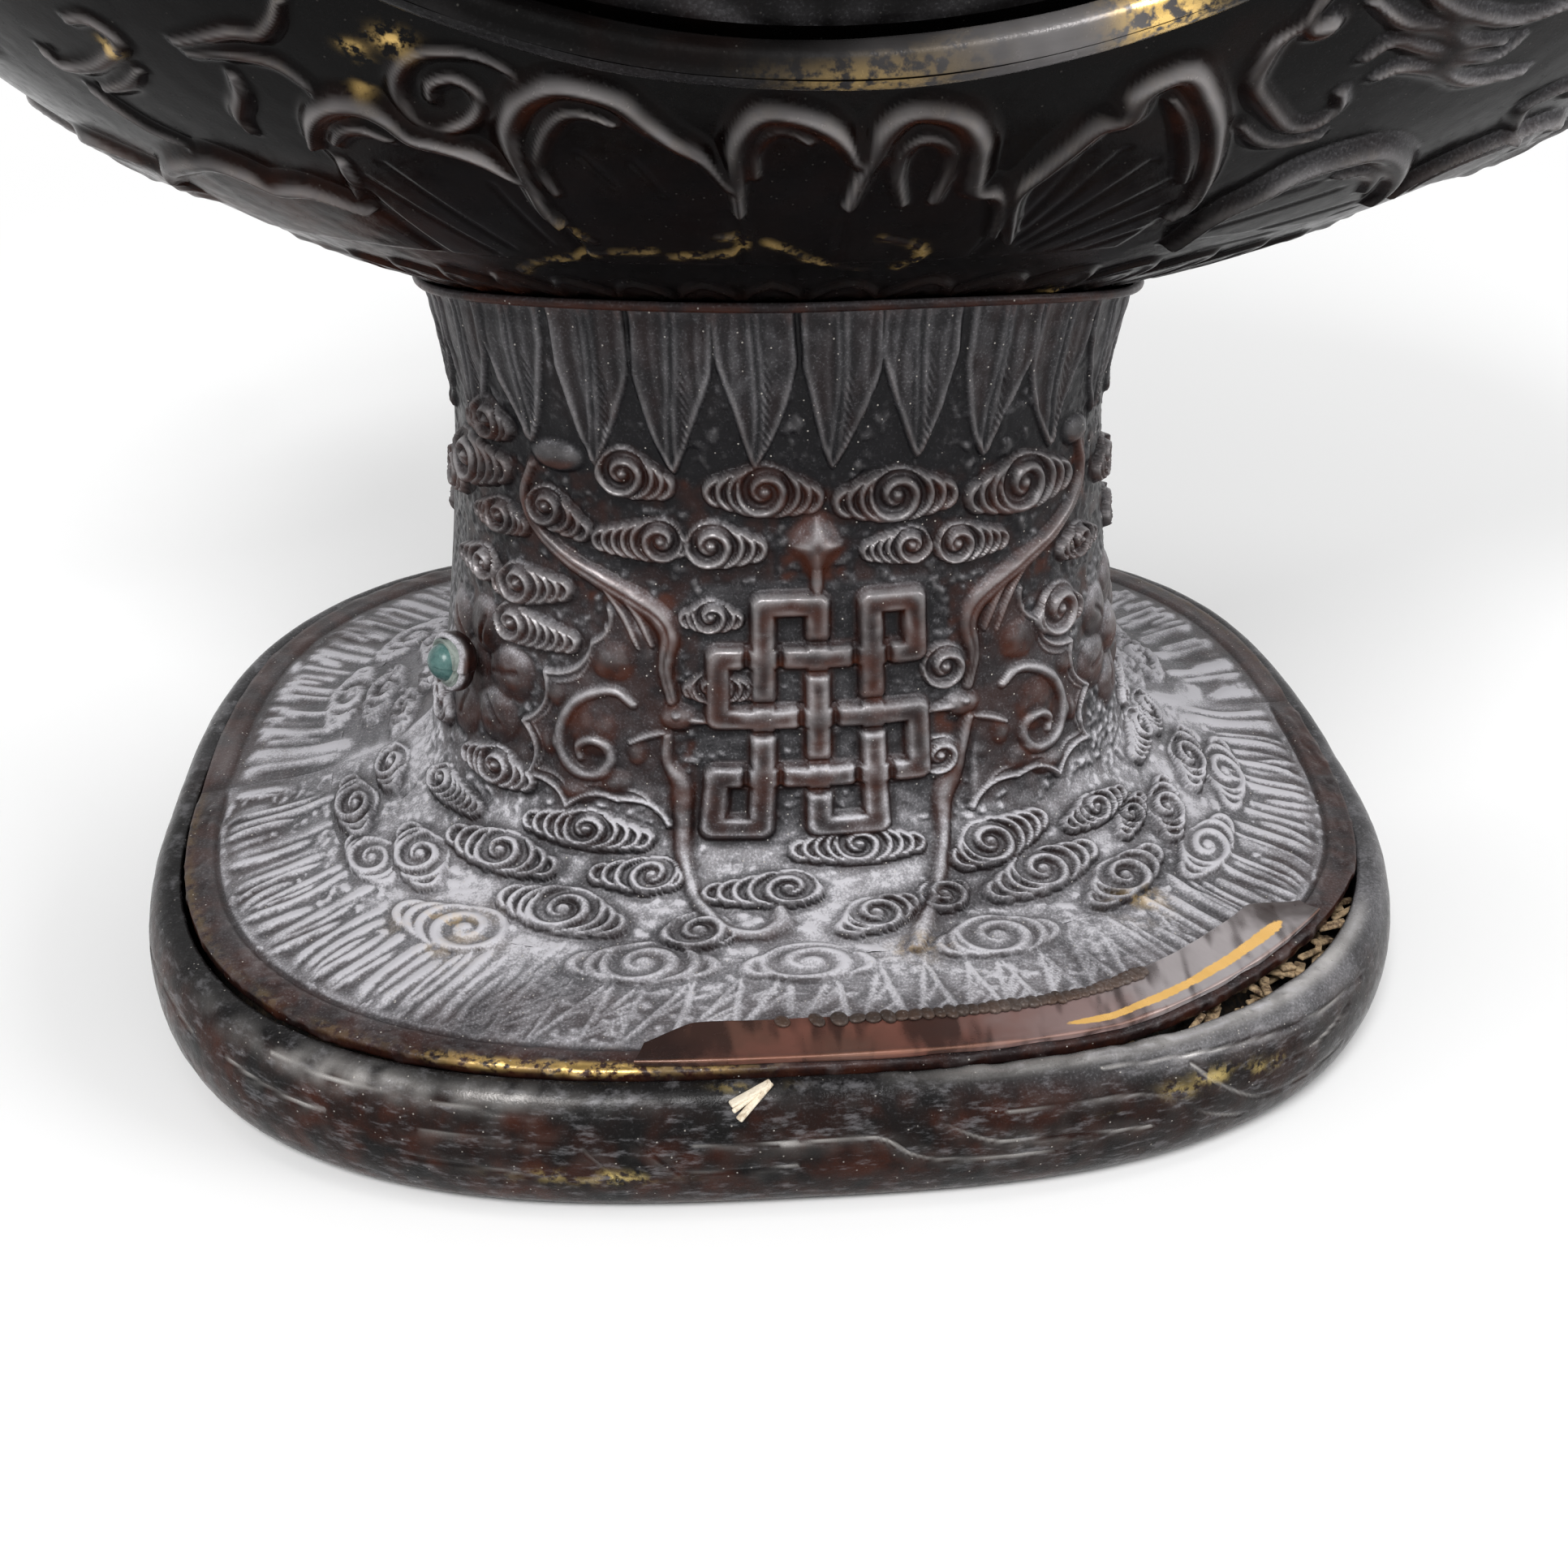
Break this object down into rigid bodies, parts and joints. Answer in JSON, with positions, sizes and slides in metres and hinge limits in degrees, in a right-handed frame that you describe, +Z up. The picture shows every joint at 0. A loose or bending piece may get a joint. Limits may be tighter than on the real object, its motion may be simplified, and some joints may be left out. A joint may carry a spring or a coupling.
{
  "type": "ritual ewer",
  "caption": "Embossed dark copper ewer on a flaring packed foot, with a bellied medallion body, curved spout, bow handle and hinged domed lid.",
  "frame": {"origin": "middle of the foot's underside, on the base plate", "axes": "+Z up through the neck, +X towards the spout, front medallion faces -Y"},
  "size_m": [0.364, 0.1392, 0.3633],
  "materials": {
    "patina_copper": "near-black brown patina on embossed copper sheet",
    "rim_copper": "dark brown worn copper",
    "strip_copper": "rubbed pinkish copper",
    "gilt_copper": "worn gilt copper",
    "base_copper": "dull copper",
    "straw_packing": "straw and chip packing",
    "turquoise_bead": "polished turquoise",
    "hinge_pin_copper": "bare copper rod"
  },
  "bodies": {
    "ewer": {"foot_shell": "patina_copper", "foot_rim": "rim_copper", "foot_border_strip": "strip_copper", "base_plate": "base_copper", "foot_packing": "straw_packing", "left_collet": "gilt_copper", "left_bead": "turquoise_bead", "right_collet": "gilt_copper", "right_bead": "turquoise_bead", "stem_collar": "gilt_copper", "body_front_shell": "patina_copper", "body_back_shell": "patina_copper", "front_medallion_ring": "gilt_copper", "back_medallion_ring": "gilt_copper", "front_medallion_plate": "patina_copper", "back_medallion_plate": "patina_copper", "spout_mask": "patina_copper", "spout_tube": "patina_copper", "spout_lip": "gilt_copper", "handle_mask": "patina_copper", "handle_bow": "patina_copper", "handle_clasp": "gilt_copper", "neck_tube": "patina_copper", "neck_collar": "gilt_copper", "mouth_flange": "gilt_copper", "hinge_seat": "gilt_copper", "hinge_pin": "hinge_pin_copper"},
    "lid": {"lid_dome": "patina_copper", "lid_plug": "patina_copper", "lid_hinge_strap": "gilt_copper", "lid_finial": "gilt_copper", "finial_bead": "turquoise_bead", "finial_washer": "gilt_copper"}
  },
  "joints": [
    {"name": "lid_hinge", "type": "hinge", "parent": "ewer", "child": "lid", "pos_m": [-0.0288, 0, 0.3085], "axis": [0, -1, 0], "range_deg": [0, 105]}
  ]
}
